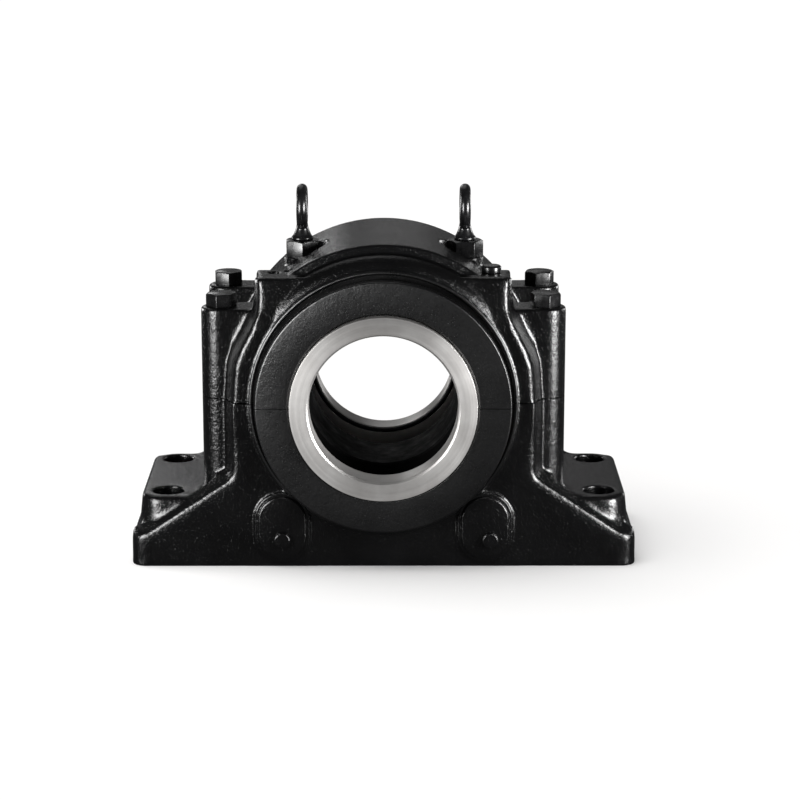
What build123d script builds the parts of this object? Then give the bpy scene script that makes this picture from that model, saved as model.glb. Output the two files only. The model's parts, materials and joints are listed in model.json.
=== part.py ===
from build123d import *
import math
import os

# Split plummer block (pillow block) housing with a double-row spherical roller
# bearing and loose steel labyrinth rings.  Millimetres.
# Frame: +X along the foot, +Y along the shaft (the front face looks along -Y),
# +Z up, origin at the middle of the sole.

# ---------------------------------------------------------------- foot
axis_h = 197.0          # shaft axis above the sole
base_l = 594.0          # length of the foot
base_w = 233.0          # width of the foot, also over the end walls
slab_t = 36.0           # height of the foot's rim
pad_l = 571.0           # machined foot pads, overall
pad_w = 205.6
pad_z = 81.0            # top of the foot pads
bolt_m = 510.0          # foot bolt spacing along X
bolt_n = 145.0          # foot bolt spacing along Y
foot_r = 18.5           # foot bolt hole radius

# ---------------------------------------------------------------- casting
wall_y = base_w / 2     # end wall planes
wall_x = 175.0          # half width of the base's end wall below the split
col_x = 189.3           # cap bolt columns
col_y = 68.0
col_r = 24.0
seat_z = 303.3          # seat of the cap bolt heads
barrel_r = 183.3        # outer radius of the bearing chamber
barrel_y = 94.5         # its half length
arch_r = 172.7          # stepped arch in front of the chamber
shoulder_z = 343.5      # top of the shoulders beside the arch
shoulder_x = 140.0
lip_r = 154.1           # rounded bead on the end wall
nose_r = 148.4          # seal nose, outer radius
nose_y = 143.5          # its face
neck_r = 142.0          # undercut between nose and wall
nose_t = 13.0           # thickness of the nose flange
nose_bore = 109.9       # bore round the labyrinth ring

# ---------------------------------------------------------------- chamber
seat_r = 150.04         # bearing seat in the housing
seat_hw = 58.0          # half width of the seat
chamber_r = 138.0       # grease space beside the bearing
chamber_y = 86.0
groove_r = 120.5        # labyrinth grooves in the nose
grooves = ((127.5, 135.5), (115.5, 123.5))

# ---------------------------------------------------------------- seal rings
ring_face = 150.0       # outer face of each labyrinth ring
ring_in = 108.0         # inner face
ring_r = 108.4
shaft_r = 86.5          # bore for the 173 mm shaft
collar_r = 119.0
collars = ((129.0, 134.0), (117.0, 122.0))

# ---------------------------------------------------------------- bearing 180 x 300 x 96
brg_bore = 90.0
brg_r = 150.0
brg_w = 96.0
race_r = 137.0          # spherical raceway of the outer ring
roll_r = 15.5
roll_l = 36.0
roll_n = 20
roll_a = 11.0           # contact angle, degrees
play = 0.15             # clearance of rollers to each raceway

# ---------------------------------------------------------------- hardware
cap_af = 32.0           # M22 hexagon head screws
cap_head = 15.5
cap_shank = 10.85
eye_x = 96.5            # lifting eyes
eye_seat = 350.5
eye_yaw = (2.0, 30.0)   # how far each nut is turned
nut_af = 38.0
nut_h = 19.0
eye_top = 436.0
eye_rod = 6.4
eye_ring = 20.5         # ring centre line radius
plug_x, plug_y = 125.5, -73.0
dowel_x = 161.0

SHAFT = Axis((0, 0, axis_h), (0, 1, 0))
SPLIT = Plane.XY.offset(axis_h)
FRONT = Plane((0, -wall_y, 0), x_dir=(1, 0, 0), z_dir=(0, -1, 0))
REAR = Plane((0, wall_y, 0), x_dir=(-1, 0, 0), z_dir=(0, 1, 0))

os.makedirs("parts", exist_ok=True)


def turned_nose(side):
    """Arch, bead, neck and nose flange of one end, as turned shapes."""
    s = side
    with BuildSketch(Plane.YZ) as prof:
        with BuildLine():
            p = [(s * 60, axis_h + 40), (s * 60, axis_h + arch_r), (s * barrel_y, axis_h + arch_r)]
            Polyline(*p)
            b0 = (s * wall_y, axis_h + lip_r + 2.6)
            b1 = (s * (wall_y + 2.6), axis_h + lip_r)
            b2 = (s * wall_y, axis_h + lip_r - 2.6)
            m = (s * (wall_y - 7.9), axis_h + arch_r - 4.3)
            ThreePointArc(p[-1], m, b0)
            ThreePointArc(b0, b1, b2)
            g0 = (s * (wall_y - 1.5), axis_h + neck_r)
            g1 = (s * (nose_y - nose_t), axis_h + neck_r)
            g2 = (s * (nose_y - nose_t), axis_h + nose_r)
            g3 = (s * (nose_y - 2.5), axis_h + nose_r)
            g4 = (s * (nose_y - 0.7), axis_h + nose_r - 0.7)
            g5 = (s * nose_y, axis_h + nose_r - 2.5)
            Polyline(b2, g0, g1, g2, g3)
            ThreePointArc(g3, g4, g5)
            Polyline(g5, (s * nose_y, axis_h + 40), p[0])
        make_face()
    revolve(prof.sketch, axis=SHAFT)


def chamber_cut():
    """Bearing seat, grease spaces, nose bores and labyrinth grooves."""
    half = [(0, seat_r), (seat_hw, seat_r), (seat_hw, chamber_r), (chamber_y, chamber_r),
            (chamber_y, nose_bore + 3)]
    y = chamber_y
    prof = [(chamber_y, nose_bore)]
    for a, b in sorted(grooves):
        prof += [(a, nose_bore), (a, groove_r), (b, groove_r), (b, nose_bore)]
    prof += [(nose_y - 1.5, nose_bore), (nose_y + 5, nose_bore + 6.5)]
    right = half[:-1] + prof
    left = [(-yy, r) for yy, r in reversed(right)]
    with BuildSketch(Plane.YZ) as prof:
        with BuildLine():
            pts = [(-nose_y - 5, 0)] + left[:-1] + right[1:] + [(nose_y + 5, 0)]
            Polyline(*[(yy, axis_h + r) for yy, r in pts], close=True)
        make_face()
    revolve(prof.sketch, axis=SHAFT, mode=Mode.SUBTRACT)


# ================================================================= castings
def oval_boss(plane, x):
    """Stepped oval boss on the end wall round a drain plug."""
    for w, hgt, out in ((66.0, 86.0, 3.2), (58.0, 78.0, 6.0)):
        with BuildSketch(plane) as oval:
            with Locations((x, 47.7)):
                SlotOverall(hgt, w, rotation=90)
        extrude(oval.sketch, amount=out, taper=12)


base_half = [(wall_x, 240), (wall_x, 107.5), (277, 39.5), (290, 36.0), (290, -40)]
base_outline = base_half + [(-x, z) for x, z in reversed(base_half)]
cap_half = [(175.0, 150), (174.0, 203), (171.3, 240), (164.5, 258.5), (154.0, 279.0),
            (143.5, 300.0), (140.0, 320), (140.0, 400)]
rear_half = cap_half[:4] + [(140.0, 268.0), (110.0, 300.0), (60.0, 320.0)]
cap_outline = cap_half + [(-x, z) for x, z in reversed(cap_half)]
rear_outline = rear_half + [(-x, z) for x, z in reversed(rear_half)]

with BuildPart() as housing_base:
    # sole slab with rounded rim
    with BuildSketch(Plane.XY):
        RectangleRounded(base_l, base_w, 17)
    extrude(amount=slab_t)
    fillet(housing_base.faces().sort_by(Axis.Z)[-1].edges(), 7)
    # raised foot pads with drafted walls
    with BuildSketch(Plane.XY.offset(pad_z)):
        RectangleRounded(pad_l, pad_w, 26)
    extrude(amount=-(pad_z - slab_t + 6), taper=-6)
    fillet(housing_base.faces().filter_by(Axis.Z).sort_by(Axis.Z)[-1].edges(), 4)
    # chamber block between the end walls
    with BuildSketch(Plane.XY.offset(2)):
        Rectangle(2 * 172, 2 * 98)
    extrude(amount=axis_h - 2)
    # cap bolt columns with flared feet
    with BuildSketch(Plane.XY.offset(pad_z - 2)):
        with GridLocations(2 * col_x, 2 * col_y, 2, 2):
            Circle(col_r)
    extrude(amount=axis_h - pad_z + 2)
    for cx in (-col_x, col_x):
        for cy in (-col_y, col_y):
            with BuildSketch(Plane((cx, cy, 0), x_dir=(1, 0, 0), z_dir=(0, -1, 0))):
                with BuildLine():
                    Line((0, pad_z - 1), (col_r + 10, pad_z - 1))
                    Line((col_r + 10, pad_z - 1), (col_r + 10, pad_z + 0.2))
                    ThreePointArc((col_r + 10, pad_z + 0.2), (col_r + 3.1, pad_z + 3.3), (col_r - 0.1, pad_z + 11))
                    Polyline((col_r - 0.1, pad_z + 11), (0, pad_z + 11), (0, pad_z - 1))
                make_face()
            revolve(axis=Axis((cx, cy, 0), (0, 0, 1)))
    # end walls: tall middle, sloping buttresses down to the slab
    for plane in (FRONT, REAR):
        with BuildSketch(plane):
            with BuildLine():
                Polyline(*base_outline, close=True)
            make_face()
            fillet([v for v in vertices() if abs(abs(v.X) - wall_x) < 1 and 100 < v.Y < 120], 12)
        extrude(amount=-24.0, taper=-24)
    # keep only what stands on the sole and below the split
    with BuildSketch(Plane.XY):
        RectangleRounded(base_l, base_w, 17)
    extrude(amount=axis_h, mode=Mode.INTERSECT)
    # turned noses
    for s in (-1, 1):
        turned_nose(s)
    for plane in (FRONT, REAR):
        for x in (-119.0, 119.0):
            oval_boss(plane, x)
    chamber_cut()
    split(bisect_by=SPLIT, keep=Keep.BOTTOM)
    # foot bolt holes
    with Locations(Plane.XY.offset(pad_z)):
        with GridLocations(bolt_m, bolt_n, 2, 2):
            Hole(foot_r, depth=pad_z + 5)
    # tapped holes for the cap bolts, dowel holes
    with Locations(Plane.XY.offset(axis_h)):
        with GridLocations(2 * col_x, 2 * col_y, 2, 2):
            Hole(11.0, depth=62)
        with Locations((-dowel_x, 0), (dowel_x, 0)):
            Hole(6.0, depth=22)
    # oil passages from the plugs up into the grease space, tapped holes at their ends
    for x, inner in ((-119, -62), (125, 66)):
        with BuildSketch(Plane((x, -100, 34), z_dir=(inner - x, 22, 44))):
            Circle(3)
        extrude(amount=math.dist((x, -100, 34), (inner, -78, 78)), mode=Mode.SUBTRACT)
    with Locations(FRONT.offset(6.5)):
        with Locations((-119, 34), (125, 34)):
            Hole(6.5, depth=30)
housing_base.part.label = "housing_base"
export_step(housing_base.part, "parts/housing_base.step")

# ================================================================= cap
with BuildPart() as housing_cap:
    # side flanges beside the chamber
    with BuildSketch(Plane.XY.offset(axis_h - 10)):
        Rectangle(2 * 187, 2 * 88)
    extrude(amount=60)
    # cap bolt columns and the arms that carry them
    for cy in (-col_y, col_y):
        with BuildSketch(Plane.XY.offset(axis_h - 10)):
            with Locations((0, cy)):
                SlotOverall(2 * (col_x + col_r), 2 * col_r)
        extrude(amount=seat_z - axis_h + 10)
    fillet(housing_cap.faces().filter_by(Axis.Z).group_by(Axis.Z)[-1].edges(), 3.5)
    # end walls; the front one carries the shoulders
    for plane, outline in ((FRONT, cap_outline), (REAR, rear_outline)):
        with BuildPart(mode=Mode.PRIVATE) as wall:
            with BuildSketch(plane):
                with BuildLine():
                    Polyline(*outline, close=True)
                make_face()
                fillet([v for v in vertices() if 200 < v.Y < (390 if plane is FRONT else 262)], 14)
            extrude(amount=-24.5, taper=-24)
            fillet(wall.faces().sort_by(Axis(plane.origin, plane.z_dir))[-1].outer_wire().edges(), 9.0)
        add(wall.part)
    with BuildSketch(FRONT.offset(-24)):
        with Locations((0, 300)):
            Rectangle(2 * 148.0, 180)
    extrude(amount=-37.5)
    # trim level with the shoulder tops
    with BuildSketch(Plane.XY.offset(shoulder_z)):
        Rectangle(600, 300)
    extrude(amount=120, mode=Mode.SUBTRACT)
    # the shoulders' front leans back
    with BuildSketch(Plane.YZ.offset(-200)):
        with BuildLine():
            Polyline((-wall_y - 20, 285), (-wall_y, 285), (-wall_y + 10.5, shoulder_z), (-wall_y + 10.5, 420),
                     (-wall_y - 20, 420), close=True)
        make_face()
    extrude(amount=400, mode=Mode.SUBTRACT)
    # nothing in the middle but the arch
    with BuildSketch(Plane.XY.offset(245)):
        Rectangle(2 * 71, 300)
    extrude(amount=200, mode=Mode.SUBTRACT)
    # bearing chamber shell
    with BuildSketch(Plane.YZ) as prof:
        with BuildLine():
            c = [(barrel_y, 40), (barrel_y, barrel_r - 2.5), (barrel_y - 0.73, barrel_r - 0.73),
                 (barrel_y - 2.5, barrel_r)]
            rr = [(yy, axis_h + r) for yy, r in c]
            ll = [(-yy, axis_h + r) for yy, r in c]
            Polyline(ll[1], ll[0], rr[0], rr[1])
            ThreePointArc(rr[1], rr[2], rr[3])
            Line(rr[3], ll[3])
            ThreePointArc(ll[3], ll[2], ll[1])
        make_face()
    revolve(axis=SHAFT)
    # bosses under the lifting eyes
    with BuildSketch(Plane.XY.offset(300)):
        with Locations((-eye_x, 0), (eye_x, 0)):
            Circle(nut_af / 2 + 3.4)
    extrude(amount=eye_seat - 300)
    # turned noses
    for s in (-1, 1):
        turned_nose(s)
    chamber_cut()
    split(bisect_by=SPLIT, keep=Keep.TOP)
    # flat seats of the hexagons, let into the chamber wall
    for x in (-eye_x, eye_x):
        with BuildSketch(Plane.XY.offset(eye_seat)):
            with Locations((x, 0)):
                Circle(31)
        extrude(amount=60, mode=Mode.SUBTRACT)
    with Locations(Plane.XY.offset(eye_seat)):
        with Locations((-eye_x, 0), (eye_x, 0)):
            Hole(8.0, depth=26)
    # cap bolt clearance holes
    with Locations(Plane.XY.offset(seat_z)):
        with GridLocations(2 * col_x, 2 * col_y, 2, 2):
            Hole(12.0, depth=seat_z - axis_h + 5)
    # dowel holes
    with Locations(Plane((0, 0, axis_h), x_dir=(1, 0, 0), z_dir=(0, 0, -1))):
        with Locations((-dowel_x, 0), (dowel_x, 0)):
            Hole(6.0, depth=22)
    # grease hole under the plug, two blind holes on the other shoulder
    with Locations(Plane.XY.offset(shoulder_z)):
        with Locations((plug_x, plug_y)):
            Hole(7.0, depth=20)
            Hole(2.5, depth=110)
        with Locations((-127.5, -71), (-110.5, -64)):
            Hole(5.5, depth=10)
housing_cap.part.label = "housing_cap"
export_step(housing_cap.part, "parts/housing_cap.step")


# ================================================================= screws and plugs
def hex_head(z0, af, height, bevel=0.12):
    """Hexagon with a turned bevel on its top corners, drawn at the origin."""
    with BuildPart() as head:
        with BuildSketch(Plane.XY.offset(z0)):
            RegularPolygon(af / 2, 6, major_radius=False)
        extrude(amount=height)
        cr = af / math.sqrt(3)
        with BuildSketch(Plane.XZ):
            with BuildLine():
                Polyline((0, z0), (cr + 1, z0), (cr + 1, z0 + height - (cr + 1 - af / 2 * 0.97) * 0.5),
                         (af / 2 * 0.97, z0 + height), (0, z0 + height), close=True)
            make_face()
        revolve(axis=Axis.Z, mode=Mode.INTERSECT)
    return head.part


with BuildPart() as cap_screw:
    add(hex_head(0, cap_af, cap_head))
    with BuildSketch(Plane.XY):
        Circle(cap_shank)
    extrude(amount=-150)
    chamfer(cap_screw.faces().sort_by(Axis.Z)[0].edges(), 1.5)

# each screw stopped at its own angle when it came tight
turns = ((-1, -1, 15.0), (1, -1, 42.0), (-1, 1, 35.0), (1, 1, 13.0))
with BuildPart() as cap_bolts:
    for sx, sy, a in turns:
        add(cap_screw.part.moved(Location((sx * col_x, sy * col_y, seat_z), (0, 0, a))))
cap_bolts.part.label = "cap_bolts"
export_step(cap_bolts.part, "parts/cap_bolts.step")

with BuildPart() as lifting_eye:
    zc = eye_top - eye_ring - eye_rod
    with BuildSketch(Plane((0, eye_ring, zc), x_dir=(1, 0, 0), z_dir=(0, 0, 1))):
        Circle(eye_rod)
    revolve(axis=Axis((0, 0, zc), (1, 0, 0)))
    z0 = eye_seat + nut_h
    with BuildSketch(Plane.XZ):
        with BuildLine():
            l1 = Polyline((0, z0 - 44), (6.8, z0 - 44), (7.9, z0 - 43), (7.9, z0), (12.2, z0), (13.2, z0 + 1),
                          (13.2, z0 + 3), (12.2, z0 + 4), (11.4, z0 + 4.4))
            l2 = ThreePointArc((11.4, z0 + 4.4), (8.3, z0 + 11.5), (6.5, z0 + 20))
            Polyline((6.5, z0 + 20), (0, z0 + 20), (0, z0 - 44))
        make_face()
    revolve(axis=Axis.Z)
    # keep the eye open
    with BuildSketch(Plane.YZ.offset(-30)):
        with Locations((0, zc)):
            Circle(eye_ring - eye_rod)
    extrude(amount=60, mode=Mode.SUBTRACT)

with BuildPart() as eye_bolts:
    add(lifting_eye.part.moved(Location((-eye_x, 0, 0))))
    add(lifting_eye.part.moved(Location((eye_x, 0, 0), (0, 0, 180))))
eye_bolts.part.label = "eye_bolts"
export_step(eye_bolts.part, "parts/eye_bolts.step")

with BuildPart() as eye_nut:
    add(hex_head(0, nut_af, nut_h))
    Hole(8.05, depth=60)
with BuildPart() as eye_bolt_nuts:
    for x, a in ((-eye_x, eye_yaw[0]), (eye_x, eye_yaw[1])):
        add(eye_nut.part.moved(Location((x, 0, eye_seat), (0, 0, a + 30))))
eye_bolt_nuts.part.label = "eye_bolt_nuts"
export_step(eye_bolt_nuts.part, "parts/eye_bolt_nuts.step")

with BuildPart() as grease_plug:
    with BuildSketch(Plane.XY.offset(shoulder_z)):
        with Locations((plug_x, plug_y)):
            Circle(11.5)
    extrude(amount=8.6)
    chamfer(grease_plug.faces().sort_by(Axis.Z)[-1].edges(), 1.8)
    with BuildSketch(Plane.XY.offset(shoulder_z)):
        with Locations((plug_x, plug_y)):
            Circle(6.9)
    extrude(amount=-16)
grease_plug.part.label = "grease_plug"
export_step(grease_plug.part, "parts/grease_plug.step")

with BuildPart() as drain_plugs:
    with BuildSketch(FRONT.offset(6.0)):
        with Locations((-119, 34), (125, 34)):
            Circle(9.5)
    extrude(amount=6.5)
    chamfer(drain_plugs.faces().sort_by(Axis.Y)[:2].edges(), 1.3)
    with BuildSketch(FRONT.offset(6.0)):
        with Locations((-119, 34), (125, 34)):
            Circle(6.4)
    extrude(amount=-24)
drain_plugs.part.label = "drain_plugs"
export_step(drain_plugs.part, "parts/drain_plugs.step")

with BuildPart() as dowel_pins:
    with BuildSketch(Plane.XY.offset(axis_h - 20)):
        with Locations((-dowel_x, 0), (dowel_x, 0)):
            Circle(5.95)
    extrude(amount=40)
    chamfer(dowel_pins.faces().filter_by(Axis.Z).edges(), 1)
dowel_pins.part.label = "dowel_pins"
export_step(dowel_pins.part, "parts/dowel_pins.step")


# ================================================================= seals
def labyrinth_ring(side):
    s = side
    pts = [(ring_face, shaft_r + 2.2), (ring_face, ring_r - 1.2), (ring_face - 1.2, ring_r)]
    for a, b in sorted(collars, reverse=True):
        pts += [(b, ring_r), (b, collar_r), (a, collar_r), (a, ring_r)]
    pts += [(ring_in, ring_r), (ring_in, shaft_r + 5.6), (ring_in + 5.4, shaft_r + 5.6),
            (ring_in + 5.4, shaft_r), (ring_face - 2.2, shaft_r)]
    with BuildPart() as ring:
        with BuildSketch(Plane.YZ) as prof:
            with BuildLine():
                Polyline(*[(s * y, axis_h + r) for y, r in pts], close=True)
            make_face()
        revolve(prof.sketch, axis=SHAFT)
    return ring.part


def shaft_cord(side):
    with BuildPart() as cord:
        with BuildSketch(Plane.YZ) as sec:
            with Locations((side * (ring_in + 2.7), axis_h + shaft_r + 3.1)):
                Circle(2.4)
        revolve(sec.sketch, axis=SHAFT)
    return cord.part


for part_name, shape in (("labyrinth_ring_front", labyrinth_ring(-1)), ("labyrinth_ring_rear", labyrinth_ring(1)),
                         ("o_ring_front", shaft_cord(-1)), ("o_ring_rear", shaft_cord(1))):
    shape.label = part_name
    export_step(shape, "parts/" + part_name + ".step")

# ================================================================= bearing
rho = race_r - play - roll_r          # roller centres lie on this sphere
ca, sa = math.cos(math.radians(roll_a)), math.sin(math.radians(roll_a))
prof_r = race_r - play                # crown radius of the rollers


def in_plane(y, r, along, out):
    """Point (y, r) moved along the roller axis and outwards from it."""
    return (y + along * ca + out * sa, r - along * sa + out * ca)


with BuildPart() as bearing_outer_ring:
    with BuildSketch(Plane.YZ) as prof:
        with BuildLine():
            h2 = brg_w / 2
            re = math.sqrt(race_r ** 2 - h2 ** 2)
            Polyline((-h2, axis_h + re), (-h2, axis_h + brg_r - 2.5), (-h2 + 2.5, axis_h + brg_r),
                     (-4, axis_h + brg_r), (-3, axis_h + brg_r - 2), (3, axis_h + brg_r - 2), (4, axis_h + brg_r),
                     (h2 - 2.5, axis_h + brg_r), (h2, axis_h + brg_r - 2.5), (h2, axis_h + re))
            ThreePointArc((h2, axis_h + re), (0, axis_h + race_r), (-h2, axis_h + re))
        make_face()
    revolve(axis=SHAFT)
    # lubrication holes in the middle groove
    with BuildSketch(Plane.XY.offset(axis_h)):
        Circle(3)
    extrude(amount=brg_r + 10, both=True, mode=Mode.SUBTRACT)
bearing_outer_ring.part.label = "bearing_outer_ring"
export_step(bearing_outer_ring.part, "parts/bearing_outer_ring.step")

with BuildPart() as bearing_inner_ring:
    with BuildSketch(Plane.YZ) as prof:
        with BuildLine():
            h2 = brg_w / 2
            y0, r0 = rho * sa, rho * ca
            depth = roll_r + play
            half = roll_l / 2 + 1.2
            sag = (prof_r + play) - math.sqrt((prof_r + play) ** 2 - half ** 2)
            arcs = {}
            for s in (-1, 1):
                a = in_plane(y0, r0, -half, -depth + sag)
                m = in_plane(y0, r0, 0, -depth)
                b = in_plane(y0, r0, half, -depth + sag)
                arcs[s] = [(s * q[0], axis_h + q[1]) for q in (a, m, b)]
            lip_z = axis_h + 105.5
            ThreePointArc(*arcs[-1])
            ThreePointArc(*arcs[1])
            Line(arcs[-1][0], arcs[1][0])
            e = arcs[1][2]
            Polyline(e, (e[0], lip_z), (h2 - 1, lip_z), (h2, lip_z - 1), (h2, axis_h + brg_bore + 2),
                     (h2 - 2, axis_h + brg_bore), (-h2 + 2, axis_h + brg_bore), (-h2, axis_h + brg_bore + 2),
                     (-h2, lip_z - 1), (-h2 + 1, lip_z), (-e[0], lip_z), (-e[0], e[1]))
        make_face()
    revolve(axis=SHAFT)
bearing_inner_ring.part.label = "bearing_inner_ring"
export_step(bearing_inner_ring.part, "parts/bearing_inner_ring.step")

with BuildPart() as guide_ring:
    with BuildSketch(Plane.YZ) as prof:
        with Locations((0, axis_h + 113.2)):
            Rectangle(3.6, 8.0)
    revolve(axis=SHAFT)
guide_ring.part.label = "guide_ring"
export_step(guide_ring.part, "parts/guide_ring.step")


def one_roller():
    """Barrel roller on the local X axis, centred at the origin."""
    hl = roll_l / 2
    sag = prof_r - math.sqrt(prof_r ** 2 - hl ** 2)
    with BuildPart() as roller:
        with BuildSketch(Plane.XZ):
            with BuildLine():
                e = roll_r - sag
                Polyline((-hl + 1, e), (-hl, e - 1), (-hl, 0), (hl, 0), (hl, e - 1), (hl - 1, e))
                ThreePointArc((hl - 1, e), (0, roll_r), (-hl + 1, e))
            make_face()
        revolve(axis=Axis.X)
    return roller.part


def roller_places(side):
    """Axis frames of one row: local X along the roller, turned about the shaft."""
    out = []
    for i in range(roll_n):
        a = 360 / roll_n * (i + (0.5 if side > 0 else 0))
        q = math.radians(a)
        c = (rho * ca * math.sin(q), side * rho * sa, axis_h + rho * ca * math.cos(q))
        d = (-sa * math.sin(q), side * ca, -sa * math.cos(q))
        out.append(Plane(c, x_dir=d, z_dir=(math.cos(q), 0, -math.sin(q))))
    return out


roller_shape = one_roller()
for side, part_name in ((-1, "rollers_front"), (1, "rollers_rear")):
    with BuildPart() as rollers:
        for pl in roller_places(side):
            add(roller_shape.moved(pl.location))
    rollers.part.label = part_name
    export_step(rollers.part, "parts/" + part_name + ".step")

for side, part_name in ((-1, "cage_front"), (1, "cage_rear")):
    with BuildPart() as cage:
        y0, r0 = rho * sa, rho * ca
        t = 2.0
        pts = [in_plane(y0, r0, -21.2, -t), in_plane(y0, r0, -21.2, t), in_plane(y0, r0, 21.5, t),
               in_plane(y0, r0, 21.5, -t)]
        with BuildSketch(Plane.YZ) as prof:
            with BuildLine():
                Polyline(*[(side * y, axis_h + r) for y, r in pts], close=True)
            make_face()
        revolve(axis=SHAFT)
        for pl in roller_places(side):
            with BuildSketch(Plane(pl.origin, x_dir=pl.x_dir, z_dir=pl.z_dir.cross(pl.x_dir))) as window:
                Rectangle(roll_l + 0.7, 2 * roll_r + 0.7)
            extrude(amount=12, both=True, mode=Mode.SUBTRACT)
    cage.part.label = part_name
    export_step(cage.part, "parts/" + part_name + ".step")

for side, part_name in ((-1, "locating_ring_front"), (1, "locating_ring_rear")):
    with BuildPart() as locating_ring:
        with BuildSketch(Plane.YZ) as prof:
            with Locations((side * (brg_w / 2 + seat_hw) / 2, axis_h + 142.5)):
                Rectangle(seat_hw - brg_w / 2 - 0.1, 15.0)
            chamfer(prof.vertices(), 0.8)
        revolve(axis=SHAFT)
    locating_ring.part.label = part_name
    export_step(locating_ring.part, "parts/" + part_name + ".step")
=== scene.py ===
import bpy
import bmesh
import json
import math
import numpy as np
from mathutils import Vector, Matrix

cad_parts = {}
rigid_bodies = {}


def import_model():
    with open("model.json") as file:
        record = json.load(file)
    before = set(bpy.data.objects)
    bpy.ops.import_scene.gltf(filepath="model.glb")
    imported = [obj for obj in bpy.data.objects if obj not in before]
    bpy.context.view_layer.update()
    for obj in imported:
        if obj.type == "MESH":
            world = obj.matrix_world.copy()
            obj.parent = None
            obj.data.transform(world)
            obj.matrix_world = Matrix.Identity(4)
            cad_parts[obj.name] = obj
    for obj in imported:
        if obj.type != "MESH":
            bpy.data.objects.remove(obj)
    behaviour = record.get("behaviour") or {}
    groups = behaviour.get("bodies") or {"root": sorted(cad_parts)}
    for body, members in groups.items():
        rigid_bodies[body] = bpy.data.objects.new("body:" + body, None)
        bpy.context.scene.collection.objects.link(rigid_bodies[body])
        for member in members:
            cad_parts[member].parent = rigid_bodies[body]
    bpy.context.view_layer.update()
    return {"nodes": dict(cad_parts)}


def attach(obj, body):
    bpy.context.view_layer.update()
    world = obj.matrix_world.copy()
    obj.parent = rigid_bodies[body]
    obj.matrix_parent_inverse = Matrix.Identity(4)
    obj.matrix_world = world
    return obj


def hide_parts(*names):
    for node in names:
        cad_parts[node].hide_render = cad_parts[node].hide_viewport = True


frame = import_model()
nodes = frame["nodes"]
AX = 0.197                      # height of the shaft axis
MM = 0.001
scene = bpy.context.scene


# ------------------------------------------------------------------ node helpers
def new_mat(name):
    m = bpy.data.materials.new(name)
    m.use_nodes = True
    nt = m.node_tree
    nt.nodes.clear()
    out = nt.nodes.new("ShaderNodeOutputMaterial")
    bsdf = nt.nodes.new("ShaderNodeBsdfPrincipled")
    nt.links.new(bsdf.outputs[0], out.inputs[0])
    return m, nt, bsdf


def tex_coord(nt):
    return nt.nodes.new("ShaderNodeTexCoord").outputs["Object"]


def noise(nt, co, scale, detail=3.0, rough=0.5, distortion=0.0):
    n = nt.nodes.new("ShaderNodeTexNoise")
    n.inputs["Scale"].default_value = scale
    n.inputs["Detail"].default_value = detail
    n.inputs["Roughness"].default_value = rough
    n.inputs["Distortion"].default_value = distortion
    nt.links.new(co, n.inputs["Vector"])
    return n.outputs["Fac"]


def voronoi(nt, co, scale, feature="SMOOTH_F1"):
    n = nt.nodes.new("ShaderNodeTexVoronoi")
    n.feature = feature
    n.inputs["Scale"].default_value = scale
    nt.links.new(co, n.inputs["Vector"])
    return n.outputs["Distance"]


def ramp(nt, fac, stops):
    r = nt.nodes.new("ShaderNodeValToRGB")
    el = r.color_ramp.elements
    while len(el) < len(stops):
        el.new(0.5)
    for e, (p, c) in zip(el, stops):
        e.position = p
        e.color = (c[0], c[1], c[2], 1) if isinstance(c, (tuple, list)) else (c, c, c, 1)
    nt.links.new(fac, r.inputs[0])
    return r.outputs[0]


def math_node(nt, op, a, b=None, c=None):
    n = nt.nodes.new("ShaderNodeMath")
    n.operation = op
    for i, v in enumerate((a, b, c)):
        if v is None:
            continue
        if isinstance(v, (int, float)):
            n.inputs[i].default_value = v
        else:
            nt.links.new(v, n.inputs[i])
    return n.outputs[0]


def mix_rgb(nt, fac, a, b, mode="MIX"):
    n = nt.nodes.new("ShaderNodeMix")
    n.data_type = "RGBA"
    n.blend_type = mode
    for sock, v in ((n.inputs[0], fac), (n.inputs[6], a), (n.inputs[7], b)):
        if isinstance(v, (int, float)):
            sock.default_value = v
        elif isinstance(v, tuple):
            sock.default_value = (v[0], v[1], v[2], 1)
        else:
            nt.links.new(v, sock)
    return n.outputs[2]


def bump(nt, height, strength, distance, normal=None):
    b = nt.nodes.new("ShaderNodeBump")
    b.inputs["Strength"].default_value = strength
    b.inputs["Distance"].default_value = distance
    nt.links.new(height, b.inputs["Height"])
    if normal is not None:
        nt.links.new(normal, b.inputs["Normal"])
    return b.outputs[0]


def separate(nt, co):
    s = nt.nodes.new("ShaderNodeSeparateXYZ")
    nt.links.new(co, s.inputs[0])
    return s.outputs


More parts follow.
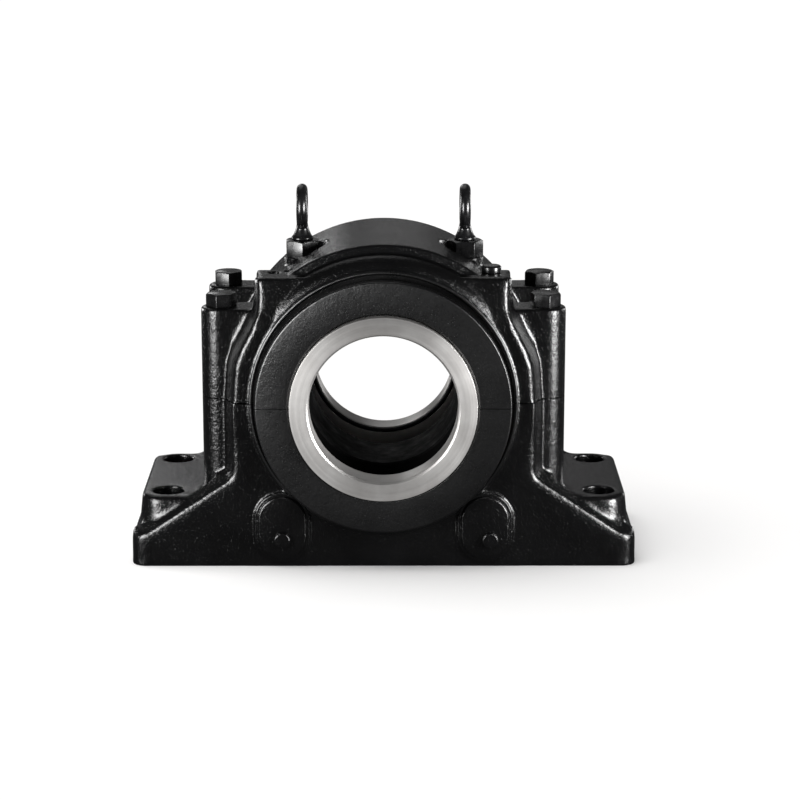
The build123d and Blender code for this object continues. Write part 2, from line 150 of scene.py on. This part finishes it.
# ------------------------------------------------------------------ materials
def enamel(name, dark, light, rough_lo, rough_hi, grain, pebble, spec):
    """Black stoving enamel over a sand-cast skin."""
    m, nt, b = new_mat(name)
    co = tex_coord(nt)
    fine = noise(nt, co, 1300, 1, 0.6)
    mid = noise(nt, co, 420, 2, 0.55, 0.1)
    grit = ramp(nt, noise(nt, co, 760, 1, 0.6), ((0.59, 0.0), (0.72, 1.0)))
    coarse = noise(nt, co, 150, 2, 0.5)
    blot = noise(nt, co, 17, 3, 0.55)
    col = ramp(nt, blot, ((0.3, dark), (0.72, light)))
    col2 = mix_rgb(nt, math_node(nt, "MULTIPLY", grit, 0.03), col, (0.02, 0.02, 0.0195))
    nt.links.new(col2, b.inputs["Base Color"])
    rmix = math_node(nt, "MULTIPLY_ADD", mid, 0.5, math_node(nt, "MULTIPLY", blot, 0.5))
    nt.links.new(ramp(nt, rmix, ((0.32, rough_lo), (0.68, rough_hi))), b.inputs["Roughness"])
    b.inputs["Specular IOR Level"].default_value = spec
    n1 = bump(nt, coarse, 1.0, pebble * 1.2)
    n2 = bump(nt, mid, 1.0, pebble, n1)
    n3 = bump(nt, grit, 1.0, grain, n2)
    n4 = bump(nt, fine, 1.0, grain * 0.35, n3)
    nt.links.new(n4, b.inputs["Normal"])
    return m


def black_steel(name, base, rough, grain=0.00004):
    m, nt, b = new_mat(name)
    co = tex_coord(nt)
    f = noise(nt, co, 900, 3, 0.6)
    g = noise(nt, co, 140, 3, 0.5)
    nt.links.new(ramp(nt, g, ((0.3, tuple(0.65 * v for v in base)), (0.7, tuple(1.3 * v for v in base)))),
                 b.inputs["Base Color"])
    nt.links.new(ramp(nt, g, ((0.3, rough * 0.8), (0.7, rough * 1.25))), b.inputs["Roughness"])
    b.inputs["Metallic"].default_value = 0.0
    b.inputs["Specular IOR Level"].default_value = 0.6
    nt.links.new(bump(nt, f, 0.7, grain, bump(nt, g, 0.5, 0.00012)), b.inputs["Normal"])
    return m


def turned_steel(name):
    """Turned steel: fine concentric tool marks about the shaft axis."""
    m, nt, b = new_mat(name)
    co = tex_coord(nt)
    x, y, z = separate(nt, co)
    zz = math_node(nt, "SUBTRACT", z, AX)
    r = math_node(nt, "SQRT", math_node(nt, "ADD", math_node(nt, "MULTIPLY", x, x), math_node(nt, "MULTIPLY", zz, zz)))
    ang = math_node(nt, "ARCTAN2", x, zz)
    comb = nt.nodes.new("ShaderNodeCombineXYZ")
    nt.links.new(math_node(nt, "MULTIPLY", r, 1.0), comb.inputs[0])
    nt.links.new(math_node(nt, "MULTIPLY", y, 1.0), comb.inputs[1])
    nt.links.new(math_node(nt, "MULTIPLY", ang, 0.0006), comb.inputs[2])
    marks = noise(nt, comb.outputs[0], 2600, 2, 0.6)
    wide = noise(nt, comb.outputs[0], 420, 2, 0.5)
    cloud = noise(nt, co, 26, 4, 0.6)
    smear = noise(nt, co, 8, 2, 0.5)
    base = ramp(nt, cloud, ((0.3, (0.45, 0.437, 0.424)), (0.7, (0.60, 0.59, 0.576))))
    base = mix_rgb(nt, math_node(nt, "MULTIPLY", ramp(nt, marks, ((0.4, 0.0), (0.75, 1.0))), 0.22), base,
                   (0.36, 0.35, 0.34))
    nt.links.new(base, b.inputs["Base Color"])
    b.inputs["Metallic"].default_value = 1.0
    rr = math_node(nt, "MULTIPLY_ADD", smear, 0.5, math_node(nt, "MULTIPLY", wide, 0.5))
    nt.links.new(ramp(nt, rr, ((0.3, 0.36), (0.7, 0.50))), b.inputs["Roughness"])
    n1 = bump(nt, wide, 0.5, 0.00003)
    nt.links.new(bump(nt, marks, 0.8, 0.00002, n1), b.inputs["Normal"])
    b.inputs["Anisotropic"].default_value = 0.45
    tan = nt.nodes.new("ShaderNodeTangent")
    tan.direction_type = "RADIAL"
    tan.axis = "Y"
    b.inputs["Anisotropic Rotation"].default_value = 0.25
    nt.links.new(tan.outputs[0], b.inputs["Tangent"])
    return m


def ground_steel(name, base, rough, metallic=1.0, spec=0.5):
    m, nt, b = new_mat(name)
    co = tex_coord(nt)
    g = noise(nt, co, 60, 4, 0.6)
    f = noise(nt, co, 1500, 2, 0.6)
    nt.links.new(ramp(nt, g, ((0.3, tuple(0.75 * v for v in base)), (0.7, tuple(1.15 * v for v in base)))),
                 b.inputs["Base Color"])
    nt.links.new(ramp(nt, g, ((0.3, rough * 0.8), (0.7, rough * 1.3))), b.inputs["Roughness"])
    b.inputs["Metallic"].default_value = metallic
    b.inputs["Specular IOR Level"].default_value = spec
    nt.links.new(bump(nt, f, 0.4, 0.00001), b.inputs["Normal"])
    return m


MAT = {
    "casting": enamel("black_enamel", (0.0006, 0.0006, 0.00065), (0.0013, 0.0013, 0.0014), 0.18, 0.26, 0.00008, 0.00036, 0.5),
    "nose": enamel("machined_enamel", (0.0006, 0.0006, 0.00065), (0.0013, 0.0013, 0.0014), 0.26, 0.32, 0.00004, 0.00015, 0.5),
    "black_steel": black_steel("blackened_steel", (0.0028, 0.0028, 0.003), 0.24),
    "forged": black_steel("painted_forging", (0.004, 0.004, 0.0044), 0.25, 0.00005),
    "turned": turned_steel("turned_steel"),
    # painted shade: the bearing rings get a near-black colour and weak specular so the housing's inside reads as deep
    # shade
    "painted_shade_ring": ground_steel("painted_shade_bearing_steel", (0.0009, 0.0009, 0.0010), 0.70, 0.0, 0.10),
    "ground": ground_steel("ground_steel", (0.02, 0.02, 0.021), 0.45),
    "brass": ground_steel("cage_brass", (0.02, 0.014, 0.007), 0.55),
}


def rubber():
    m, nt, b = new_mat("cord_rubber")
    co = tex_coord(nt)
    g = noise(nt, co, 300, 3, 0.6)
    nt.links.new(ramp(nt, g, ((0.3, 0.002), (0.7, 0.004))), b.inputs["Base Color"])
    nt.links.new(ramp(nt, g, ((0.3, 0.6), (0.7, 0.8))), b.inputs["Roughness"])
    nt.links.new(bump(nt, g, 0.3, 0.00005), b.inputs["Normal"])
    return m


MAT["rubber"] = rubber()

node_mat = {
    "housing_base": "casting", "housing_cap": "casting", "cap_bolts": "black_steel", "eye_bolts": "forged",
    "eye_bolt_nuts": "black_steel", "grease_plug": "black_steel", "drain_plugs": "casting", "dowel_pins": "ground",
    "labyrinth_ring_front": "turned", "labyrinth_ring_rear": "turned", "o_ring_front": "rubber", "o_ring_rear": "rubber",
    # the bearing rings, guide ring and locating rings take the near-black painted-shade steel
    "bearing_outer_ring": "painted_shade_ring", "bearing_inner_ring": "painted_shade_ring", "guide_ring": "painted_shade_ring", "cage_front": "brass",
    "cage_rear": "brass", "rollers_front": "ground", "rollers_rear": "ground", "locating_ring_front": "painted_shade_ring",
    "locating_ring_rear": "painted_shade_ring",
}
for n, o in nodes.items():
    o.data.materials.clear()
    o.data.materials.append(MAT[node_mat[n]])


# ------------------------------------------------------------------ mesh helpers
def clean_bm(*names):
    bm = bmesh.new()
    for n in names:
        bm.from_mesh(nodes[n].data)
    bmesh.ops.remove_doubles(bm, verts=bm.verts, dist=2e-6)
    bmesh.ops.dissolve_degenerate(bm, dist=1e-7, edges=bm.edges)
    return bm


def to_object(bm, name, mat):
    me = bpy.data.meshes.new(name)
    bm.to_mesh(me)
    bm.free()
    me.materials.append(mat)
    ob = bpy.data.objects.new(name, me)
    scene.collection.objects.link(ob)
    return ob


def apply_all(ob):
    dg = bpy.context.evaluated_depsgraph_get()
    me = bpy.data.meshes.new_from_object(ob.evaluated_get(dg))
    old = ob.data
    ob.modifiers.clear()
    ob.data = me
    bpy.data.meshes.remove(old)


def smooth_by_angle(ob, deg):
    ob.data.polygons.foreach_set("use_smooth", [True] * len(ob.data.polygons))
    ob.data.set_sharp_from_angle(angle=math.radians(deg))


def coords(me):
    co = np.empty(len(me.vertices) * 3, np.float32)
    me.vertices.foreach_get("co", co)
    return co.reshape(-1, 3)


def sstep(a, b, x):
    t = np.clip((x - a) / (b - a), 0, 1)
    return t * t * (3 - 2 * t)


# ------------------------------------------------------------------ castings
def skin_weights(co):
    """How far each part of the casting's skin is softened: 1 for sand-cast, low where it is machined."""
    x, y, z = co[:, 0] * 1000, co[:, 1] * 1000, co[:, 2] * 1000
    ay = np.abs(y)
    r = np.hypot(x, z - 197)
    w = np.ones(len(x))

    def calm(mask, value):
        np.minimum(w, 1 - (1 - value) * mask, out=w)
    # nose flange and its bore
    calm((1 - sstep(149.5, 151.5, r)) * sstep(117.0, 119.5, ay), 0.10)
    calm((1 - sstep(137.0, 140.0, r)), 0.06)
    # chamber inside
    calm((1 - sstep(151.0, 154.0, r)) * (1 - sstep(88, 92, ay)), 0.05)
    # bead round the nose
    calm(sstep(149.5, 151.0, r) * (1 - sstep(158.5, 161.0, r)) * sstep(112.5, 114.5, ay), 0.10)
    # oval bosses
    calm((1 - sstep(94, 97, z)) * sstep(116.6, 117.6, ay), 0.10)
    calm((np.abs(np.abs(x) - 119) < 40) * (z < 95) * sstep(114.5, 116, ay), 0.10)
    # sole
    calm(1 - sstep(1.0, 3.0, z), 0.35)
    # foot holes
    for sx in (-255, 255):
        for sy in (-72.5, 72.5):
            calm(1 - sstep(20.0, 23.0, np.hypot(x - sx, y - sy)), 0.22)
    # seats of the cap screws
    for sx in (-189.3, 189.3):
        for sy in (-68, 68):
            calm((1 - sstep(17.0, 20.0, np.hypot(x - sx, y - sy))) * (z > 290), 0.15)
    # eye seats
    for sx in (-96.5, 96.5):
        calm((1 - sstep(28.0, 33.0, np.hypot(x - sx, y))) * (z > 335), 0.25)
    # blind holes and plug seat
    for hx, hy, hr in ((-127.5, -71, 5.5), (-110.5, -64, 5.5), (125.5, -73, 11)):
        calm((1 - sstep(hr + 1.5, hr + 4, np.hypot(x - hx, y - hy))) * (z > 330), 0.10)
    return w


def ridge_weights(co):
    """Where the pattern's edges are rounded most: rims of the end walls, shoulders and slab."""
    x, y, z = co[:, 0] * 1000, co[:, 1] * 1000, co[:, 2] * 1000
    ax, ay = np.abs(x), np.abs(y)
    r = np.hypot(x, z - 197)
    w = sstep(86, 94, ay) * sstep(176, 181, r)
    w = np.maximum(w, sstep(66, 76, ay) * sstep(176, 184, r) * sstep(300, 312, z) * (1 - sstep(150, 156, ax)))
    w *= 1 - (1 - sstep(26.5, 29.5, np.hypot(ax - 189.3, ay - 68))) * (z > 88)
    w *= 1 - (1 - sstep(22.0, 26.0, np.hypot(ax - 255, ay - 72.5)))
    w *= sstep(3.0, 8.0, z)
    w *= 1 - 0.8 * (r < 185) * (ay < 96.5) * (z > 300)
    w *= 1 - (np.abs(ax - 119) < 42) * (1 - sstep(94, 97, z)) * sstep(112, 115, ay)
    return w


def soften(ob, w, its):
    vg = ob.vertex_groups.new(name="soft")
    q = np.round(w * 20).astype(int)
    for k in range(1, 21):
        idx = np.nonzero(q == k)[0]
        if len(idx):
            vg.add(idx.tolist(), k / 20, "REPLACE")
    mod = ob.modifiers.new("smooth", "SMOOTH")
    mod.factor = 0.5
    mod.iterations = its
    mod.vertex_group = "soft"
    apply_all(ob)
    ob.vertex_groups.clear()


def halve(ob, name, up, mat="casting", gap=0.00042):
    """One side of the split, leaving half of its thin dark line."""
    bm = bmesh.new()
    bm.from_mesh(ob.data)
    geom = bm.verts[:] + bm.edges[:] + bm.faces[:]
    no = (0, 0, -1) if up else (0, 0, 1)
    res = bmesh.ops.bisect_plane(bm, geom=geom, plane_co=(0, 0, AX + (gap if up else -gap)), plane_no=no,
                                 clear_outer=True)
    cut = [e for e in res["geom_cut"] if isinstance(e, bmesh.types.BMEdge)]
    bmesh.ops.triangle_fill(bm, edges=cut, use_beauty=True, normal=no)
    bmesh.ops.recalc_face_normals(bm, faces=bm.faces)
    return to_object(bm, name, MAT[mat])


def stadium(steps, x, side, name):
    """Upright oval on an end wall, lofted through (height off the wall, end radius). Millimetres."""
    bm = bmesh.new()
    loops = []
    n = 24
    for out, r in steps:
        loop = []
        for zc, a0 in ((57.7, 0.0), (37.7, math.pi)):
            for k in range(n + 1):
                t = a0 + math.pi * k / n
                loop.append(bm.verts.new(((x + r * math.cos(t)) * MM, side * (116.5 + out) * MM,
                                          (zc + r * math.sin(t)) * MM)))
        loops.append(loop)
    for p, q in zip(loops, loops[1:]):
        for i in range(len(p)):
            j = (i + 1) % len(p)
            bm.faces.new((p[i], p[j], q[j], q[i]))
    bm.faces.new(loops[0])
    bm.faces.new(loops[-1])
    bmesh.ops.recalc_face_normals(bm, faces=bm.faces)
    return to_object(bm, name, MAT["casting"])


def oval_bosses():
    steps = [(-5.0, 33.6), (1.3, 32.75), (2.1, 32.4), (2.7, 31.8), (3.1, 31.0), (3.2, 30.1), (3.2, 29.0), (3.4, 28.5),
             (4.0, 28.2), (4.7, 27.8), (5.3, 27.2), (5.75, 26.5), (6.0, 25.5)]
    for s, tag in ((-1, "front"), (1, "rear")):
        for x in (-119.0, 119.0):
            ob = stadium(steps, x, s, "housing_base_oval_%s_%d" % (tag, x > 0))
            mod = ob.modifiers.new("t", "TRIANGULATE")
            apply_all(ob)
            smooth_by_angle(ob, 40)
            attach(ob, "housing")
            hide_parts("housing_base")


def castings():
    a = to_object(clean_bm("housing_base"), "housing_base_skin", MAT["casting"])
    b = to_object(clean_bm("housing_cap"), "tmp_cap", MAT["casting"])
    mod = a.modifiers.new("join", "BOOLEAN")
    mod.operation = "UNION"
    mod.solver = "EXACT"
    mod.object = b
    apply_all(a)
    bpy.data.objects.remove(b)
    # room for the crisp turned noses
    for s in (-1, 1):
        pts = [(110.5, 125.0), (110.5, 155.0), (150.0, 155.0), (150.0, 100.0), (137.5, 100.0), (137.5, 125.0)]
        c = lathe([(s * y * MM, r * MM) for y, r in pts], 256, "tmp_cut", MAT["casting"])
        mod = a.modifiers.new("room", "BOOLEAN")
        mod.operation = "DIFFERENCE"
        mod.solver = "EXACT"
        mod.object = c
        apply_all(a)
        bpy.data.objects.remove(c)
        for x in (-119.0, 119.0):
            c = stadium([(-4.0, 31.5), (12.0, 31.5)], x, s, "tmp_cut")
            mod = a.modifiers.new("room", "BOOLEAN")
            mod.operation = "DIFFERENCE"
            mod.solver = "EXACT"
            mod.object = c
            apply_all(a)
            bpy.data.objects.remove(c)
    voxel = 0.0014
    mod = a.modifiers.new("vox", "REMESH")
    mod.mode = "VOXEL"
    mod.voxel_size = voxel
    apply_all(a)
    soften(a, skin_weights(coords(a.data)), 16)
    soften(a, ridge_weights(coords(a.data)), 110)
    print("skin verts", len(a.data.vertices), "polys", len(a.data.polygons))
    skins = []
    for name, up in (("housing_base_skin", False), ("housing_cap_skin", True)):
        ob = halve(a, name, up, gap=0.0008)
        tris = sum(len(p.vertices) - 2 for p in ob.data.polygons)
        target = 185000 if not up else 150000
        mod = ob.modifiers.new("dec", "DECIMATE")
        mod.ratio = min(1.0, target / tris)
        apply_all(ob)
        if up:
            for hx, hy in ((-127.5, -71.0), (-110.5, -64.0)):
                bm = bmesh.new()
                bmesh.ops.create_cone(bm, cap_ends=True, segments=40, radius1=0.0056, radius2=0.0056, depth=0.024,
                                      matrix=Matrix.Translation((hx * MM, hy * MM, 0.3465)))
                c = to_object(bm, "tmp_cut", MAT["casting"])
                mod = ob.modifiers.new("dimple", "BOOLEAN")
                mod.operation = "DIFFERENCE"
                mod.solver = "EXACT"
                mod.object = c
                apply_all(ob)
                bpy.data.objects.remove(c)
        smooth_by_angle(ob, 50)
        skins.append(ob)
        print(name, "tris", len(ob.data.polygons))
    bpy.data.objects.remove(a)
    for ob, n in zip(skins, ("housing_base", "housing_cap")):
        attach(ob, "housing")
        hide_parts(n)
    return skins


def turned_noses():
    """Flange, neck and bead of each end, machined and so left sharp."""
    pts = [(142.0, 109.9), (143.5, 111.4), (143.5, 148.4), (130.5, 148.4), (130.5, 142.0), (115.0, 142.0),
           (116.5, 151.5)]
    rad = [0, 0.3, 2.2, 1.0, 0.5, 0.5, 0]
    bead = []
    for k in range(1, 8):
        t = math.pi * k / 8
        bead.append((116.5 + 2.6 * math.sin(t), 154.1 - 2.6 * math.cos(t)))
    pts += bead + [(116.5, 156.7), (109.5, 156.7), (109.5, 124.0), (137.0, 124.0), (137.0, 109.9)]
    rad += [0] * (len(pts) - len(rad))
    for s, tag in ((-1, "front"), (1, "rear")):
        pr = rounded([(s * y * MM, r * MM) for y, r in pts], [v * MM for v in rad])
        full = lathe(pr, 360, "tmp_nose", MAT["casting"])
        for up, node in ((False, "housing_base"), (True, "housing_cap")):
            ob = halve(full, node + "_nose_" + tag, up, "nose")
            smooth_by_angle(ob, 35)
            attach(ob, "housing")
            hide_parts(node)
            print(ob.name, len(ob.data.polygons))
        bpy.data.objects.remove(full)


# ------------------------------------------------------------------ bright rings
def lathe(points, segs, name, mat):
    """Closed (y, r) profile turned about the shaft axis. Metres."""
    bm = bmesh.new()
    n = len(points)
    rings = []
    for i in range(segs):
        a = 2 * math.pi * i / segs
        rings.append([bm.verts.new((r * math.sin(a), y, AX + r * math.cos(a))) for y, r in points])
    for i in range(segs):
        p, q = rings[i], rings[(i + 1) % segs]
        for j in range(n):
            k = (j + 1) % n
            bm.faces.new((p[j], p[k], q[k], q[j]))
    bmesh.ops.recalc_face_normals(bm, faces=bm.faces)
    ob = to_object(bm, name, mat)
    return ob


def rounded(points, radii):
    """Round the corners of a closed polygon."""
    out = []
    n = len(points)
    for i, (p, rad) in enumerate(zip(points, radii)):
        p = Vector(p)
        a, b = Vector(points[i - 1]) - p, Vector(points[(i + 1) % n]) - p
        if rad <= 0:
            out.append(tuple(p))
            continue
        la, lb = a.length, b.length
        a.normalize()
        b.normalize()
        t = min(rad, la * 0.45, lb * 0.45)
        p0, p1 = p + a * t, p + b * t
        for k in range(5):
            s = k / 4
            q = p0.lerp(p, s).lerp(p.lerp(p1, s), s)
            out.append(tuple(q))
    return out


def bright_ring(side, node):
    pts = [(150.0, 88.7), (150.0, 108.4), (134.0, 108.4), (134.0, 119.0), (129.0, 119.0), (129.0, 108.4),
           (122.0, 108.4), (122.0, 119.0), (117.0, 119.0), (117.0, 108.4), (108.0, 108.4), (108.0, 92.1),
           (113.4, 92.1), (113.4, 86.5), (147.8, 86.5)]
    rad = [0.25, 0.35, 0.3, 0.5, 0.5, 0.3, 0.3, 0.5, 0.5, 0.3, 0.6, 0.4, 0.2, 0.4, 0.25]
    pr = rounded([(side * y * MM, r * MM) for y, r in pts], [v * MM for v in rad])
    ob = lathe(pr, 256, node + "_skin", MAT["turned"])
    smooth_by_angle(ob, 35)
    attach(ob, "front_labyrinth" if side < 0 else "rear_labyrinth")
    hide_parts(node)
    return ob


# ------------------------------------------------------------------ hardware
def bevelled(node, width, body="housing", segs=3, angle=32):
    ob = to_object(clean_bm(node), node + "_skin", nodes[node].data.materials[0])
    bm = bmesh.new()
    bm.from_mesh(ob.data)
    bmesh.ops.dissolve_limit(bm, angle_limit=math.radians(1.0), verts=bm.verts, edges=bm.edges)
    bm.to_mesh(ob.data)
    bm.free()
    mod = ob.modifiers.new("b", "BEVEL")
    mod.width = width
    mod.segments = segs
    mod.limit_method = "ANGLE"
    mod.angle_limit = math.radians(angle)
    mod.use_clamp_overlap = True
    mod.harden_normals = False
    mod = ob.modifiers.new("t", "TRIANGULATE")
    apply_all(ob)
    smooth_by_angle(ob, 32)
    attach(ob, body)
    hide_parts(node)
    print(ob.name, len(ob.data.polygons))
    return ob


def forged_eyes():
    ob = to_object(clean_bm("eye_bolts"), "eye_bolts_skin", MAT["forged"])
    mod = ob.modifiers.new("vox", "REMESH")
    mod.mode = "VOXEL"
    mod.voxel_size = 0.0007
    mod = ob.modifiers.new("s", "SMOOTH")
    mod.factor = 0.5
    mod.iterations = 12
    apply_all(ob)
    tris = sum(len(p.vertices) - 2 for p in ob.data.polygons)
    mod = ob.modifiers.new("d", "DECIMATE")
    mod.ratio = min(1.0, 60000 / tris)
    apply_all(ob)
    smooth_by_angle(ob, 80)
    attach(ob, "housing")
    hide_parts("eye_bolts")
    print(ob.name, len(ob.data.polygons))
    return ob


castings()
turned_noses()
oval_bosses()
for s, n in ((-1, "labyrinth_ring_front"), (1, "labyrinth_ring_rear")):
    bright_ring(s, n)
bevelled("cap_bolts", 0.0006)
bevelled("eye_bolt_nuts", 0.0006)
bevelled("grease_plug", 0.0006)
bevelled("drain_plugs", 0.0008)
forged_eyes()


# ------------------------------------------------------------------ stage
def floor():
    bm = bmesh.new()
    bmesh.ops.create_circle(bm, cap_ends=True, radius=60, segments=96)
    me = bpy.data.meshes.new("floor")
    bm.to_mesh(me)
    bm.free()
    m = bpy.data.materials.new("pale_floor")
    m.use_nodes = True
    nt = m.node_tree
    nt.nodes.clear()
    out = nt.nodes.new("ShaderNodeOutputMaterial")
    dif = nt.nodes.new("ShaderNodeBsdfDiffuse")
    em = nt.nodes.new("ShaderNodeEmission")
    add = nt.nodes.new("ShaderNodeAddShader")
    co = nt.nodes.new("ShaderNodeTexCoord").outputs["Object"]
    g = noise(nt, co, 3.0, 2, 0.5)
    nt.links.new(ramp(nt, g, ((0.3, (0.80, 0.795, 0.79)), (0.7, (0.82, 0.815, 0.81)))), dif.inputs["Color"])
    em.inputs["Color"].default_value = (1.0, 0.995, 0.99, 1)
    em.inputs["Strength"].default_value = 0.175
    nt.links.new(dif.outputs[0], add.inputs[0])
    nt.links.new(em.outputs[0], add.inputs[1])
    nt.links.new(add.outputs[0], out.inputs[0])
    me.materials.append(m)
    ob = bpy.data.objects.new("floor", me)
    scene.collection.objects.link(ob)
    ob.visible_glossy = False


floor()


def area(name, loc, target, sx, sy, power, color=(1, 1, 1)):
    l = bpy.data.lights.new(name, "AREA")
    l.shape = "RECTANGLE"
    l.size, l.size_y = sx, sy
    l.energy = power
    l.color = color
    ob = bpy.data.objects.new(name, l)
    ob.location = loc
    ob.rotation_euler = (Vector(target) - Vector(loc)).to_track_quat("-Z", "Y").to_euler()
    scene.collection.objects.link(ob)
    return ob


def azim(az, dist, z):
    """Place at an azimuth from the camera's side, positive to the right."""
    a = math.radians(az)
    return (dist * math.sin(a), -dist * math.cos(a), z)


strips = [area("strip_left", azim(-48, 1.5, 0.40), (0, 0, 0.2), 0.52, 0.74, 31),
          area("strip_right", azim(54, 1.5, 0.40), (0, 0, 0.2), 0.52, 0.74, 52),
          area("back_left", (-0.85, 2.6, 1.20), (0, 0, 0.3), 0.7, 0.4, 2.6),
          area("rear_fill_left", (-1.6, 1.3, 0.40), (0, 0, 0.2), 0.5, 0.5, 9),
          area("rear_fill_right", (1.6, 1.3, 0.40), (0, 0, 0.2), 0.5, 0.5, 9),
          area("back_wide", (0.3, 3.0, 1.05), (0, 0, 0.3), 3.2, 1.2, 1.15),
          area("back_mid", (0.12, 2.6, 1.04), (0, 0, 0.3), 0.6, 0.18, 0.2)]
no_floor = bpy.data.collections.new("lit_by_strips")
no_floor.objects.link(bpy.data.objects["floor"])
no_floor.collection_objects[0].light_linking.link_state = "EXCLUDE"
for ob in strips:
    ob.light_linking.receiver_collection = no_floor
    ob.visible_camera = False
nose_only = bpy.data.collections.new("lit_by_nose_light")
for ob in [o for o in bpy.data.objects if "_nose_" in o.name]:
    nose_only.objects.link(ob)
nose_light = area("nose_light", azim(-23, 1.9, 0.44), (0, 0, 0.2), 0.4, 0.4, 27)
nose_light.light_linking.receiver_collection = nose_only
nose_light.visible_camera = False
rings_only = bpy.data.collections.new("lit_by_floor_glow")
for n in ("labyrinth_ring_front_skin",):
    rings_only.objects.link(bpy.data.objects[n])
glow = area("floor_glow", (0, -1.3, 0.015), (0, -1.3, 1.0), 2.2, 2.2, 5.6)
glow.light_linking.receiver_collection = rings_only
glow.visible_camera = False
floor_only = bpy.data.collections.new("lit_by_overhead")
floor_only.objects.link(bpy.data.objects["floor"])
for name, energy, angle, rx, ry, linked in (("overhead", 3.35, 72, 4, -19, floor_only), ("rear_top", 0.22, 40, -42, -12, no_floor)):
    sun = bpy.data.lights.new(name, "SUN")
    sun.energy = energy
    sun.angle = math.radians(angle)
    ob = bpy.data.objects.new(name, sun)
    ob.rotation_euler = (math.radians(rx), math.radians(ry), 0)
    ob.light_linking.receiver_collection = linked
    scene.collection.objects.link(ob)

w = bpy.data.worlds.new("studio")
w.use_nodes = True
w.node_tree.nodes["Background"].inputs[0].default_value = (0.058, 0.058, 0.059, 1)
w.node_tree.nodes["Background"].inputs[1].default_value = 1.0
scene.world = w

cam_data = bpy.data.cameras.new("camera")
cam_data.lens = 115.33
cam_data.sensor_width = 36.0
cam_data.clip_start, cam_data.clip_end = 0.05, 200
cam = bpy.data.objects.new("camera", cam_data)
cam.location = (0.01339, -3.00326, 0.90448)
fwd = Vector((0.001947, 0.971586, -0.236681))
cam.rotation_euler = fwd.to_track_quat("-Z", "Y").to_euler()
scene.collection.objects.link(cam)
scene.camera = cam
scene.view_settings.view_transform = "Standard"
scene.view_settings.look = "None"
